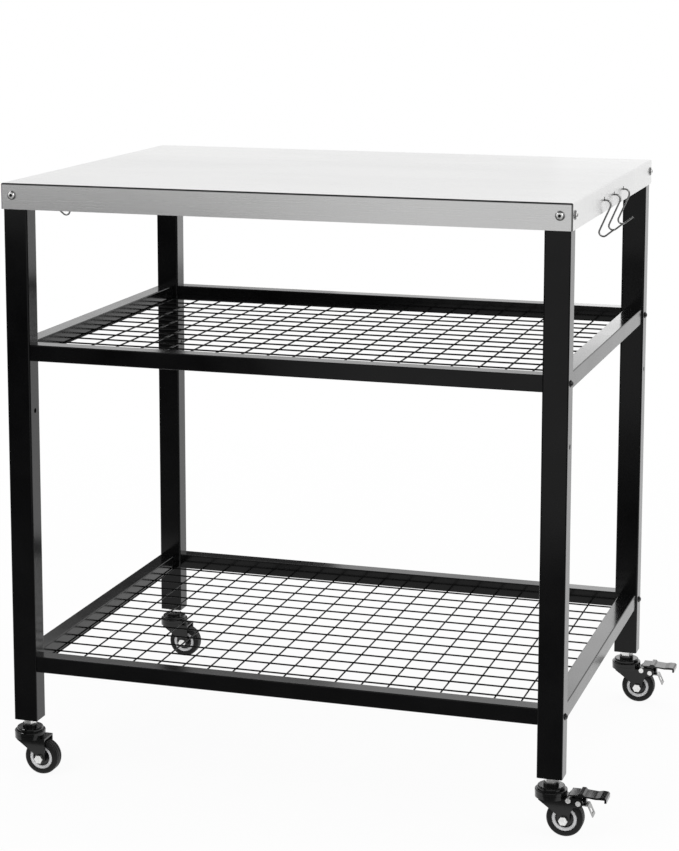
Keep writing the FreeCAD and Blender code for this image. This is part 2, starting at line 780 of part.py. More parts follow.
# Stamped fork: a plate with two cheeks under a round crown; the braked one reaches out further
def fork_master(kind):
    name = f"{kind}_fork"
    braked = kind == "braked"
    body = new_body(name + "_body")
    cheek = new_sketch(body, name + "_cheek", "XZ_Plane")
    lobe = dim("fork_lobe_radius")
    back = dim("fork_back_reach")
    brake_lobe = dim("brake_lobe_radius")
    pin_x, pin_z = pedal_pin
    profile = [
        (-back, plate_top),
        (-back, plate_bottom - dim("fork_back_lip")),
        (trail - lobe * CHEEK_LEAN[0], axle_z + lobe * CHEEK_LEAN[1]),
        (trail + lobe, axle_z),
    ]
    if braked:
        cheek_start = dim("brake_cheek_start")
        profile += [
            (trail + lobe, axle_z + lobe),
            (pin_x - brake_lobe, pin_z - brake_lobe),
            (pin_x, pin_z - brake_lobe),
            (pin_x, pin_z + brake_lobe),
            (cheek_start + dim("fork_wall"), pin_z + brake_lobe),
            (cheek_start, plate_top),
        ]
        plate_end = cheek_start
    else:
        profile.append((trail + lobe, plate_top))
        plate_end = trail + lobe + MARGIN
    outline(cheek, profile)
    extrude("Pad", body, name + "_block", cheek, 2 * fork_half)
    lobes = [("axle", (trail, axle_z), lobe)]
    if braked:
        lobes.append(("pin", pedal_pin, brake_lobe))
    for tag, centre, radius in lobes:
        disc = new_sketch(body, f"{name}_{tag}_lobe", "XZ_Plane")
        ring(disc, centre, radius)
        extrude("Pad", body, f"{name}_{tag}_lobe_pad", disc, 2 * fork_half)
    gap = new_sketch(body, name + "_gap", "XZ_Plane")
    far = dim("pedal_reach")
    high = plate_top + brake_lobe + MARGIN
    between_cheeks = [
        (-back - MARGIN, -MARGIN),
        (-back - MARGIN, plate_bottom),
        (plate_end, plate_bottom),
        (plate_end, high),
        (far, high),
        (far, -MARGIN),
    ]
    outline(gap, between_cheeks)
    extrude("Pocket", body, name + "_wheel_space", gap, dim("fork_inner_width"))
    crown = new_sketch(body, name + "_crown", "XY_Plane")
    bind(crown, "AttachmentOffset.Base.z", plate_bottom)
    ring(crown, (0, 0), dim("fork_crown_radius"))
    extrude("Pad", body, name + "_crown_pad", crown, dim("fork_crown_height"), midplane=False)
    stem_hole_radius = dim("stem_radius") + dim("running_gap")
    stem_hole_height = dim("fork_crown_height") + 2 * MARGIN
    holes = [cylinder(name + "_stem_hole", stem_hole_radius, stem_hole_height, (0, 0, plate_bottom - MARGIN))]
    pins = [("axle", (trail, axle_z), dim("axle_radius"))]
    if braked:
        pins.append(("leaf_pin", leaf_pin, dim("leaf_pin_radius")))
        pins.append(("pedal_pin", pedal_pin, dim("pedal_pin_radius")))
    for tag, (x, z), radius in pins:
        start = (x, -fork_half - MARGIN, z)
        length = 2 * fork_half + 2 * MARGIN
        holes.append(cylinder(f"{name}_{tag}_hole", radius + dim("thread_gap"), length, start, "+Y"))
    return cut(name + "_master", body, holes)


# Axle: hexagon bolt from the front, with a nut behind
def axle_master():
    flats = dim("axle_flats")
    thick = dim("axle_head_height")
    radius = dim("axle_radius")
    length = 2 * fork_half + thick + dim("axle_end")
    head = hexagon("axle_head", flats, thick, (trail, -fork_half - thick, axle_z), "+Y")
    shank = cylinder("axle_shank", radius, length, (trail, -fork_half, axle_z), "+Y")
    nut_blank = hexagon("axle_nut_blank", flats, thick, (trail, fork_half, axle_z), "+Y")
    bore_start = (trail, fork_half - MARGIN, axle_z)
    bore = cylinder("axle_nut_bore", radius + dim("thread_gap"), thick + 2 * MARGIN, bore_start, "+Y")
    return compound("axle_master", [fuse("axle_bolt", [head, shank]), cut("axle_nut", nut_blank, [bore])])


# Wheel centre: boss, dished web and raised ring, turned about the axle
def hub_master():
    bore = dim("axle_radius") + dim("running_gap")
    boss = dim("fork_inner_width") / 2 - dim("fork_side_gap")
    web = dim("hub_web_width") / 2
    face = dim("hub_ring_width") / 2
    dish = dim("hub_dish_radius")
    edge = dim("hub_ring_edge")
    front_half = [
        (-boss, bore),
        (-boss, dim("hub_boss_radius")),
        (-web, dim("hub_boss_radius") + edge),
        (-web, dish - edge),
        (edge - face, dish),
        (-face, dish + edge),
        (-face, dim("hub_radius") - edge),
        (edge - face, dim("hub_radius")),
    ]
    back_half = [(-y, radius) for y, radius in reversed(front_half)]
    return turn_profile("hub", "YZ_Plane", "H_Axis", front_half + back_half)


# Tyre with rounded shoulders, moulded on the hub
def tyre_master():
    bore = dim("hub_radius") + dim("bond_gap")
    half = dim("wheel_width") / 2
    shoulder = dim("tyre_shoulder")
    corner = rounded_step(half, dim("wheel_radius"), shoulder)
    back_half = [(half, bore)] + corner
    front_half = [(-y, radius) for y, radius in reversed(back_half)]
    return turn_profile("tyre", "YZ_Plane", "H_Axis", back_half + front_half)


# Brake pins: riveted through both cheeks
def brake_pins_master():
    pins = []
    head_radius = dim("brake_pin_head_radius")
    head = dim("brake_pin_head_height")
    for tag, (x, z), radius in (
        ("leaf_pin", leaf_pin, dim("leaf_pin_radius")),
        ("pedal_pin", pedal_pin, dim("pedal_pin_radius")),
    ):
        shank = cylinder(f"{tag}_shank", radius, 2 * fork_half, (x, -fork_half, z), "+Y")
        front = cylinder(f"{tag}_front", head_radius, head, (x, -fork_half - head, z), "+Y")
        back = cylinder(f"{tag}_back", head_radius, head, (x, fork_half, z), "+Y")
        pins.append(fuse(tag, [front, shank, back]))
    return compound("brake_pins_master", pins)


# Pressed leaf: hangs from the inner pin, passes close over the tyre and folds down at its end
def leaf_route():
    """Underside of the leaf, from its eye to its folded end."""
    x, z = leaf_pin
    flat_z = z - dim("leaf_flat_down")
    return [
        (x + dim("leaf_eye_out"), z - dim("leaf_eye_down")),
        (x + dim("leaf_slope_out"), z - dim("leaf_slope_down")),
        (x + dim("leaf_flat_start"), flat_z),
        (x + dim("leaf_flat_end"), flat_z),
        (x + dim("leaf_tab_out"), z - dim("leaf_tab_down")),
    ]


def leaf_master():
    x, z = leaf_pin
    thick = dim("leaf_wall")
    body = new_body("leaf_body")
    section = new_sketch(body, "leaf_section", "XZ_Plane")
    under = leaf_route()
    over = [(x_place, z_place + thick) for x_place, z_place in under[:3]]
    bend_x, bend_z = under[3]
    tab_x, tab_z = under[4]
    over += [(bend_x + thick / 2, bend_z + thick), (tab_x + thick, tab_z)]
    outline(section, over + list(reversed(under)))
    extrude("Pad", body, "leaf_strip", section, dim("leaf_width"))
    side = -dim("leaf_width") / 2
    pin = dim("leaf_pin_radius")
    eye = cylinder("leaf_eye", pin + thick, dim("leaf_width"), (x, side, z), "+Y")
    bore_length = dim("leaf_width") + 2 * MARGIN
    bore = cylinder("leaf_bore", pin + dim("running_gap"), bore_length, (x, side - MARGIN, z), "+Y")
    window_width = dim("leaf_window_width")
    window_size = (tab_x - bend_x + 2 * MARGIN, window_width, dim("leaf_window_height"))
    window_low = (bend_z + tab_z - dim("leaf_window_height")) / 2
    window = box("leaf_window", window_size, (bend_x - MARGIN / 2, -window_width / 2, window_low))
    return cut("leaf_master", fuse("leaf_blank", [body, eye]), [bore, window])


# Pressed pedal: two ears on the outer pin, and a rounded cam above the leaf
def pedal_master():
    x, z = pedal_pin
    thick = dim("pedal_plate")
    under = z + dim("pedal_lift")
    over = under + thick
    rib = over + dim("pedal_rib")
    end = dim("pedal_reach")
    body = new_body("pedal_body")
    section = new_sketch(body, "pedal_section", "XZ_Plane")
    rib_start = x + dim("pedal_rib_start")
    rib_slope = dim("pedal_rib_slope")
    rib_flat = dim("pedal_rib_flat")
    rib_end = rib_start + 2 * rib_slope + rib_flat
    dip = dim("pedal_toe_dip")
    lip_foot = under - dim("pedal_lip_drop")
    lip_inner = end - dim("pedal_lip_width")
    upper = [
        (x - dim("pedal_heel"), over),
        (rib_start, over),
        (rib_start + rib_slope, rib),
        (rib_start + rib_slope + rib_flat, rib),
        (rib_end, over),
        (end - dim("pedal_toe_length"), over - dip),
        (end - dim("pedal_toe_crest"), over + dim("pedal_toe_rise")),
        (end - thick, over),
        (end, over - thick),
    ]
    lower = [
        (end, lip_foot),
        (lip_inner, lip_foot),
        (lip_inner, under - dip),
        (end - dim("pedal_toe_crest"), under - dip),
        (end - dim("pedal_toe_length"), under - dip - dim("pedal_toe_rise")),
        (rib_end, under),
        (x - dim("pedal_heel"), under),
    ]
    outline(section, upper + lower)
    extrude("Pad", body, "pedal_blade", section, dim("pedal_width"))
    ear = dim("ear_wall")
    ear_face = dim("fork_inner_width") / 2 - dim("ear_gap")
    ear_radius = dim("ear_radius")
    pieces = [body]
    rise = dim("pedal_lift") + thick / 2
    for tag, y in (("front", -ear_face), ("back", ear_face - ear)):
        pieces.append(cylinder(f"pedal_ear_{tag}", ear_radius, ear, (x, y, z), "+Y"))
        web_size = (2 * ear_radius, ear, rise)
        pieces.append(box(f"pedal_web_{tag}", web_size, (x - ear_radius, y, z)))
    cam_x = x + dim("cam_reach")
    leaf_top = leaf_route()[3][1] + dim("leaf_wall")
    cam_radius = dim("cam_radius")
    cam_z = leaf_top + dim("cam_gap") + cam_radius
    side = -dim("cam_width") / 2
    pieces.append(cylinder("pedal_cam", cam_radius, dim("cam_width"), (cam_x, side, cam_z), "+Y"))
    post_size = (2 * cam_radius, dim("cam_width"), under + thick / 2 - cam_z)
    pieces.append(box("pedal_cam_post", post_size, (cam_x - cam_radius, side, cam_z)))
    bore_radius = dim("pedal_pin_radius") + dim("running_gap")
    bore = cylinder("pedal_bore", bore_radius, 2 * fork_half, (x, -fork_half, z), "+Y")
    return cut("pedal_master", fuse("pedal_blank", pieces), [bore])


def make_casters():
    masters = {
        "caster_stem": stem_master(),
        "caster_cup": cup_master(),
        "caster_axle": axle_master(),
    }
    forks = {"plain": fork_master("plain"), "braked": fork_master("braked")}
    wheel = {"wheel_hub": hub_master(), "wheel_tyre": tyre_master()}
    brake = {
        "brake_pins": brake_pins_master(),
        "brake_pedal": pedal_master(),
        "brake_leaf": leaf_master(),
    }
    for x, y, tag in corners():
        kind = "braked" if tag.endswith("right") else "plain"
        pieces = dict(masters, caster_fork=forks[kind])
        if kind == "braked":
            pieces.update(brake)
        for name, master in pieces.items():
            copies(f"{name}_{tag}", master, [at(x, y, 0)])
        for name, master in wheel.items():
            copies(f"{name}_{tag}", master, [at(x + trail, y, axle_z)])


# S-hook bent from round wire, drawn outward from the skirt's face and up from the hole's middle
def hook_master():
    wire_radius = dim("hook_wire_radius")
    seat = float(wire_radius + dim("hook_seat_gap") - dim("hook_hole_radius"))
    inner = float(dim("hook_inner_reach"))
    outer = float(dim("hook_outer_reach"))
    foot = -float(dim("hook_drop"))
    tail_x = -inner - float(dim("hook_tail_lean"))
    # each corner of the route and the radius of its bend
    route = [
        (tail_x, -float(dim("hook_tail_drop")), 0),
        (-inner, 0.0, float(dim("hook_crown_bend"))),
        (outer, 0.0, float(dim("hook_shoulder_bend"))),
        (outer, -float(dim("hook_elbow_drop")), float(dim("hook_elbow_bend"))),
        (-outer, foot + float(dim("hook_heel_rise")), float(dim("hook_heel_bend"))),
        (float(dim("hook_toe_shift")), foot, float(dim("hook_toe_bend"))),
        (float(dim("hook_arm_reach")), foot + float(dim("hook_arm_rise")), 0),
    ]
    points = [FreeCAD.Vector(x, 0, z + seat) for x, z, bend in route]
    edges = []
    start = points[0]
    for index in range(1, len(points) - 1):
        corner = points[index]
        before = (points[index - 1] - corner).normalize()
        after = (points[index + 1] - corner).normalize()
        half_angle = before.getAngle(after) / 2
        radius = route[index][2]
        leave = corner + after * (radius / math.tan(half_angle))
        enter = corner + before * (radius / math.tan(half_angle))
        middle = corner + (before + after).normalize() * (radius / math.sin(half_angle) - radius)
        edges.append(Part.LineSegment(start, enter).toShape())
        edges.append(Part.Arc(enter, middle, leave).toShape())
        start = leave
    edges.append(Part.LineSegment(start, points[-1]).toShape())
    heading = (points[1] - points[0]).normalize()
    section = Part.Wire([Part.Circle(points[0], heading, float(wire_radius)).toShape()])
    master = doc.addObject("Part::Feature", "hook_master")
    master.Shape = Part.Wire(edges).makePipeShell([section], True, False)
    return master


def make_hooks():
    master = hook_master()
    facing = {"right": FreeCAD.Rotation(), "left": FreeCAD.Rotation(FreeCAD.Vector(0, 0, 1), 180)}
    hung = {"right": ("front", "middle", "back"), "left": ("front", "back")}
    for side, rows in hung.items():
        for row in rows:
            hole = FreeCAD.Vector(float(half_width) * SIDES[side], float(hook_y(row)), float(hook_z))
            copies(f"s_hook_{side}_{row}", master, [FreeCAD.Placement(hole, facing[side])])


make_tabletop()
for side_name in SIDES:
    make_stiffener(side_name)
for end_name in ENDS:
    for side_name in SIDES:
        make_leg(end_name, side_name)
for shelf_name in SHELVES:
    for side_name in SIDES:
        make_side_rail(shelf_name, side_name)
    for end_name in ENDS:
        make_cross_rail(shelf_name, end_name)
    make_mesh(shelf_name)
make_end_plates()
make_shelf_bolts()
make_top_screws()
make_rivet_nuts()
make_leg_plugs()
make_casters()
make_hooks()

doc.recompute()
for item in doc.Objects:
    if "Invalid" in item.State or "Error" in item.State:
        raise RuntimeError(f"{item.Name} failed: {item.State}")

os.makedirs("parts", exist_ok=True)
for node_name, item in NODES.items():
    shape = item.Shape
    if shape.isNull() or not shape.isValid() or not shape.Solids:
        raise RuntimeError(f"{node_name} has no valid solid")
    if any(solid.Volume <= 0 for solid in shape.Solids):
        raise RuntimeError(f"{node_name} has an inside-out solid")
    shape.exportStep(f"parts/{node_name}.step")
print(len(NODES), "sub-parts")
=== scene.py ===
"""Looks of the outdoor pizza oven table: materials, light, floor and camera round the CAD frame."""

import math

import bmesh
import bpy
from mathutils import Matrix, Vector


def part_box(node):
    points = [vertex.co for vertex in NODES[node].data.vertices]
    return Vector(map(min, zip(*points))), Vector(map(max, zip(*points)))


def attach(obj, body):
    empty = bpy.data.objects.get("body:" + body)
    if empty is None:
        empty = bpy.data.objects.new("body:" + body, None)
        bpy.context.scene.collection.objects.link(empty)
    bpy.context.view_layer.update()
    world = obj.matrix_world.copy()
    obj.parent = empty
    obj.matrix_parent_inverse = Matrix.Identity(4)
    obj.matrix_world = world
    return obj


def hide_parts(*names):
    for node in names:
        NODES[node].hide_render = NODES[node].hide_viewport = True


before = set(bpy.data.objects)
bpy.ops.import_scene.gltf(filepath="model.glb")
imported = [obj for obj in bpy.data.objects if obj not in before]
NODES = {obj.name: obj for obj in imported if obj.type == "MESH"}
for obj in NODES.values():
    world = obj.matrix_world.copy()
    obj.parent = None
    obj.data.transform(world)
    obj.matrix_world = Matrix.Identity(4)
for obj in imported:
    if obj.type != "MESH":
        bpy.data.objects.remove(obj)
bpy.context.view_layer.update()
CORNERS = ("front_left", "front_right", "back_left", "back_right")
TABLE_MIDDLE = sum(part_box("tabletop"), Vector()) / 2

# Sizes in metres
TOP_HALF_WIDTH, TOP_HALF_DEPTH = 0.4, 0.3
SCREW_INSET_WIDE, SCREW_INSET_DEEP = 0.0167, 0.0147  # from the top's sides to a screw's axis
# The screws' bands are painted shade and a painted highlight; the wheel's band is its grey ring.
SCREW_BANDS, WHEEL_BANDS = 0.0063, 0.020  # radii over which the round colour bands are laid out
# How far the painted shade in crevices and sockets looks for neighbours
CREVICE_REACH = 0.004

# The photograph, in pixels
PHOTO_WIDTH, PHOTO_HEIGHT = 679.0, 851.0

WHITE = (1.0, 1.0, 1.0, 1.0)
ACROSS_X = (0.0, 1.0, 1.0)  # keeps the distance from an axis along X
ACROSS_Y = (1.0, 0.0, 1.0)  # keeps the distance from an axis along Y


# Nodes

def material(name):
    """A new material with its node tree and its shader."""
    made = bpy.data.materials.new(name)
    made.use_nodes = True
    return made, made.node_tree, made.node_tree.nodes["Principled BSDF"]


def node(tree, kind, **values):
    """Adds a node. Names with a capital set sockets, the others set properties."""
    made = tree.nodes.new(kind)
    for key, value in values.items():
        if key[0].isupper():
            made.inputs[key.replace("_", " ")].default_value = value
        else:
            setattr(made, key, value)
    return made


def link(tree, a, b):
    tree.links.new(a, b)


def maths(tree, operation, *values):
    """A step of maths on outputs and numbers."""
    made = node(tree, "ShaderNodeMath", operation=operation)
    for socket, value in zip(made.inputs, values):
        if isinstance(value, float):
            socket.default_value = value
        else:
            link(tree, value, socket)
    return made.outputs[0]


def vector_maths(tree, operation, value, constant=None):
    """A step of vector maths on an output, with a constant as its second value."""
    made = node(tree, "ShaderNodeVectorMath", operation=operation)
    link(tree, value, made.inputs[0])
    if constant is not None:
        made.inputs[1].default_value = constant
    return made.outputs["Value" if operation == "LENGTH" else "Vector"]


def split(tree, vector):
    """A vector's X, Y and Z outputs, by name."""
    made = node(tree, "ShaderNodeSeparateXYZ")
    link(tree, vector, made.inputs["Vector"])
    return made.outputs


def mix(tree, factor, a, b, data_type="RGBA", blend_type="MIX"):
    """Mixes two outputs by a number or an output."""
    made = node(tree, "ShaderNodeMix", data_type=data_type, blend_type=blend_type)
    if isinstance(factor, float):
        made.inputs["Factor"].default_value = factor
    else:
        link(tree, factor, made.inputs["Factor"])
    link(tree, a, made.inputs["A"])
    link(tree, b, made.inputs["B"])
    return made.outputs["Result"]


def darken(tree, colour, shade):
    """Multiplies a colour by a shade."""
    return mix(tree, 1.0, colour, shade, blend_type="MULTIPLY")


def mix_shaders(tree, factor, a, b):
    made = node(tree, "ShaderNodeMixShader")
    for socket, value in zip(made.inputs, (factor, a.outputs[0], b.outputs[0])):
        link(tree, value, socket)
    return made.outputs[0]


def rest_place(tree):
    """Places in the rest frame."""
    return node(tree, "ShaderNodeTexCoord").outputs["Object"]


def place(tree, scale=(1.0, 1.0, 1.0)):
    """Places in the rest frame, stretched by a scale for each axis."""
    mapping = node(tree, "ShaderNodeMapping", Scale=scale)
    link(tree, rest_place(tree), mapping.inputs["Vector"])
    return mapping.outputs["Vector"]


def reach(tree, where, centre, across):
    """Distance from an axis through the centre."""
    away = vector_maths(tree, "SUBTRACT", where, centre)
    return vector_maths(tree, "LENGTH", vector_maths(tree, "MULTIPLY", away, across))


def noise(tree, where, scale, detail, roughness=0.55):
    made = node(tree, "ShaderNodeTexNoise", Scale=scale, Detail=detail, Roughness=roughness)
    link(tree, where, made.inputs["Vector"])
    return made.outputs["Fac"]


def spread(tree, value, low, high, start=0.3, end=0.7):
    """Maps a value between start and end onto numbers between low and high."""
    made = node(
        tree, "ShaderNodeMapRange", From_Min=start, From_Max=end, To_Min=low, To_Max=high)
    link(tree, value, made.inputs["Value"])
    return made.outputs["Result"]


def grey(value):
    return (value, value, value)


def ramp(tree, value, stops):
    """Maps a value onto colours, each stop a position and an RGB colour."""
    made = node(tree, "ShaderNodeValToRGB")
    band = made.color_ramp
    while len(band.elements) < len(stops):
        band.elements.new(0.5)
    for element, (position, colour) in zip(band.elements, stops):
        element.position = position
        element.color = (*colour, 1.0)
    link(tree, value, made.inputs["Fac"])
    return made.outputs["Color"]


def bump(tree, shader, height, strength, distance):
    made = node(tree, "ShaderNodeBump", Strength=strength, Distance=distance)
    link(tree, height, made.inputs["Height"])
    link(tree, made.outputs["Normal"], shader.inputs["Normal"])


# Materials

def painted_crevice_shade(tree, shader, colour):
    """Colours a metal, with painted shade where it meets its neighbour and inside its sockets."""
    near = node(tree, "ShaderNodeAmbientOcclusion", samples=8, Distance=CREVICE_REACH)
    # Painted shade: ambient occlusion darkens the colour in crevices and sockets.
    painted_shade = ramp(tree, near.outputs["AO"], ((0.25, grey(0.03)), (0.85, grey(1.0))))
    link(tree, darken(tree, colour, painted_shade), shader.inputs["Base Color"])


def painted_fold_shade(tree, facing, colour):
    """Paints dark lines into the colour along the narrow folds, standing in for the dark
    reflections the bends catch.

    The folds above the front and back faces get darkest, and the upright corners less dark.
    """
    size = split(tree, vector_maths(tree, "ABSOLUTE", facing))
    aside = maths(tree, "MULTIPLY_ADD", size["X"], 0.5, size["Z"])
    bent = maths(tree, "MULTIPLY", size["Y"], aside)
    plain, dim, dark = grey(1.0), grey(0.22), grey(0.04)
    # Painted shade: the colour darkens with how the fold faces.
    shade = ramp(tree, bent, ((0.05, plain), (0.12, dim), (0.24, dim), (0.32, dark)))
    return darken(tree, colour, shade)


def brushed_sheet():
    """Stainless sheet, brushed along its width, and down its folded sides."""
    made, tree, shader = material("brushed_stainless_sheet")
    shader.inputs["Metallic"].default_value = 1.0
    long, thin = 4.0, 1400.0
    along = noise(tree, place(tree, (long, thin, thin)), 1.0, 6.0, 0.7)
    down = noise(tree, place(tree, (thin, thin, long)), 1.0, 6.0, 0.7)
    facing = node(tree, "ShaderNodeNewGeometry").outputs["Normal"]
    sideways = maths(tree, "ABSOLUTE", split(tree, facing)["X"])
    grain = mix(tree, sideways, along, down, data_type="FLOAT")
    cloud = noise(tree, place(tree, (1.6, 5.0, 5.0)), 1.0, 2.0)
    fine = ramp(tree, grain, ((0.3, grey(0.73)), (0.7, (0.86, 0.86, 0.855))))
    wide = ramp(tree, cloud, ((0.35, grey(0.76)), (0.65, (0.87, 0.87, 0.865))))
    # The colour gets painted dark lines along the folds and painted shade in its crevices.
    painted_crevice_shade(tree, shader, painted_fold_shade(tree, facing, mix(tree, 0.45, fine, wide)))
    link(tree, spread(tree, grain, 0.24, 0.36), shader.inputs["Roughness"])
    bump(tree, shader, grain, 0.12, 0.0002)
    return made


def powder_coat(name, dark, light, rough, peel, face_on, coat=0.50):
    """Black coat with a faint orange peel: near black face on, and bright along the surface."""
    made, tree, shader = material(name)
    shader.inputs["IOR"].default_value = 1.5
    shader.inputs["Specular IOR Level"].default_value = face_on
    shader.inputs["Coat Weight"].default_value = coat
    shader.inputs["Coat IOR"].default_value = 1.35
    shader.inputs["Coat Roughness"].default_value = 0.14
    patch = noise(tree, place(tree), 14.0, 3.0)
    link(tree, ramp(tree, patch, ((0.3, dark), (0.7, light))), shader.inputs["Base Color"])
    link(tree, spread(tree, patch, *rough), shader.inputs["Roughness"])
    bump(tree, shader, noise(tree, place(tree), 700.0, 2.0), peel, 0.0002)
    return made


def bright_metal(name, dark, light, rough, scale=260.0):
    """Plated or polished metal with fine marks, and painted shade in its crevices and sockets."""
    made, tree, shader = material(name)
    shader.inputs["Metallic"].default_value = 1.0
    marks = noise(tree, place(tree), scale, 5.0, 0.65)
    painted_crevice_shade(tree, shader, ramp(tree, marks, ((0.32, dark), (0.62, light))))
    link(tree, spread(tree, marks, *rough), shader.inputs["Roughness"])
    bump(tree, shader, marks, 0.05, 0.0001)
    return made


def screw_steel():
    """Button heads with painted shade in the socket, a painted highlight on the crown and painted
    shade on the flank.

    The colours follow the distance from the nearest screw's axis. The screws are mirrored about
    the table's middle, so that one on the front and one on the side stand for all of them.
    """
    low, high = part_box("top_screws")
    middle = Vector((TABLE_MIDDLE.x, TABLE_MIDDLE.y, (low.z + high.z) / 2))
    made, tree, shader = material("stainless_screw")
    shader.inputs["Metallic"].default_value = 1.0
    away = vector_maths(tree, "SUBTRACT", rest_place(tree), middle)
    mirrored = vector_maths(tree, "ABSOLUTE", away)
    front = reach(tree, mirrored, (TOP_HALF_WIDTH - SCREW_INSET_WIDE, 0.0, 0.0), ACROSS_Y)
    side = reach(tree, mirrored, (0.0, TOP_HALF_DEPTH - SCREW_INSET_DEEP, 0.0), ACROSS_X)
    nearest = maths(tree, "MINIMUM", front, side)
    share = spread(tree, nearest, 0.0, 1.0, 0.0, SCREW_BANDS)
    # Painted light: a shaded socket, a highlighted crown and a shaded flank.
    socket, painted_crown_highlight, painted_flank_shade, rim = grey(0.02), (0.95, 0.95, 0.94), grey(0.16), grey(0.45)
    bands = ramp(tree, share, (
        (0.33, socket), (0.38, painted_crown_highlight), (0.70, painted_crown_highlight), (0.78, painted_flank_shade), (0.92, painted_flank_shade), (0.97, rim)))
    link(tree, bands, shader.inputs["Base Color"])
    marks = noise(tree, place(tree), 260.0, 4.0)
    link(tree, spread(tree, marks, 0.34, 0.46), shader.inputs["Roughness"])
    bump(tree, shader, marks, 0.04, 0.0001)
    return made


def wheel_core(corner):
    """Black wheel centre with a light grey ring, by the distance from the axle."""
    low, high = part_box("wheel_hub_" + corner)
    made, tree, shader = material("wheel_core_" + corner)
    radius = reach(tree, rest_place(tree), (low + high) / 2, ACROSS_Y)
    share = spread(tree, radius, 0.0, 1.0, 0.0, WHEEL_BANDS)
    black, pale = (0.006, 0.006, 0.007), (0.86, 0.86, 0.87)
    ring = ramp(tree, share, ((0.610, black), (0.625, pale), (0.860, pale), (0.875, black)))
    patch = noise(tree, place(tree), 220.0, 4.0)
    wear = ramp(tree, patch, ((0.25, grey(0.86)), (0.75, grey(1.0))))
    link(tree, darken(tree, ring, wear), shader.inputs["Base Color"])
    link(tree, spread(tree, patch, 0.22, 0.36), shader.inputs["Roughness"])
    bump(tree, shader, patch, 0.05, 0.0002)
    return made


def rubber():
    """Smooth black tyre with faint scuffs."""
    made, tree, shader = material("tyre_black")
    shader.inputs["Specular IOR Level"].default_value = 0.20
    scuff = noise(tree, place(tree), 160.0, 6.0, 0.7)
    black = ramp(tree, scuff, ((0.3, grey(0.004)), (0.75, (0.013, 0.013, 0.0135))))
    link(tree, black, shader.inputs["Base Color"])
    link(tree, spread(tree, scuff, 0.34, 0.52), shader.inputs["Roughness"])
    bump(tree, shader, scuff, 0.08, 0.0003)
    return made


SHEET = brushed_sheet()
PAINT = powder_coat(
    "black_powder_coat", (0.0020, 0.0020, 0.0022), (0.0042, 0.0042, 0.0044),
    rough=(0.15, 0.22), peel=0.04, face_on=0.08)
WIRE = powder_coat(
    "black_wire_coat", grey(0.0015), grey(0.0035),
    rough=(0.20, 0.30), peel=0.06, face_on=0.06, coat=0.0)
OXIDE = powder_coat(
    "black_oxide", grey(0.003), grey(0.008),
    rough=(0.10, 0.18), peel=0.05, face_on=0.5)
CASTER_BLACK = powder_coat(
    "gloss_black_plating", grey(0.002), grey(0.006),
    rough=(0.07, 0.16), peel=0.04, face_on=0.25)
CHROME = bright_metal(
    "bright_plating", (0.76, 0.76, 0.75), (0.95, 0.95, 0.94), rough=(0.32, 0.46))
SCREW = screw_steel()
ZINC = bright_metal(
    "zinc_plating", (0.46, 0.47, 0.48), (0.64, 0.65, 0.67), rough=(0.28, 0.42))
LEAF = bright_metal(
    "spring_steel", grey(0.20), (0.42, 0.42, 0.415), rough=(0.14, 0.26))
HOOK = bright_metal(
    "polished_hook_wire", grey(0.15), (0.34, 0.34, 0.335), rough=(0.10, 0.20), scale=420.0)
TYRE = rubber()

# The first start that fits a node's name gives its material
BY_START = (
    ("tabletop", SHEET),
    ("leg_end_plugs", ZINC),
    ("leg_", PAINT),
    ("mid_shelf_mesh", WIRE),
    ("low_shelf_mesh", WIRE),
    ("mid_", PAINT),
    ("low_", PAINT),
    ("rail_end_plates", PAINT),
    ("shelf_bolts", OXIDE),
    ("top_screws", SCREW),
    ("rivet_nuts", ZINC),
    ("caster_stem", CHROME),
    ("caster_axle", CHROME),
    ("brake_pins", CHROME),
    ("caster_cup", CASTER_BLACK),
    ("caster_fork", CASTER_BLACK),
    ("brake_pedal", CASTER_BLACK),
    ("brake_leaf", LEAF),
    ("wheel_tyre", TYRE),
    ("s_hook", HOOK),
)


def dress(obj, made):
    """Gives an object one material, on all its faces."""
    obj.data.materials.clear()
    obj.data.materials.append(made)
    for face in obj.data.polygons:
        face.material_index = 0


for name, obj in NODES.items():
    for start, made in BY_START:
        if name.startswith(start):
            dress(obj, made)
            break
for corner in CORNERS:
    dress(NODES["wheel_hub_" + corner], wheel_core(corner))


# Grooved tyres, in place of the plain ones

def tyre_profile(half, bore, outer):
    """Half section of the tyre, as places along the axle and radii, from back to front."""
    shoulder, steps = 0.0045, 10
    corner = [math.radians(90.0) * i / steps for i in range(steps + 1)]
    side = [
        (half - shoulder + shoulder * math.cos(a), outer - shoulder + shoulder * math.sin(a))
        for a in corner
    ]
    middle, mouth, root, depth = 0.0029, 0.0008, 0.0004, 0.0009
    groove = [
        (middle + mouth, outer),
        (middle + root, outer - depth),
        (middle - root, outer - depth),
        (middle - mouth, outer),
    ]
    back = [(half, bore)] + side + groove
    return back + [(-y, r) for y, r in reversed(back)]


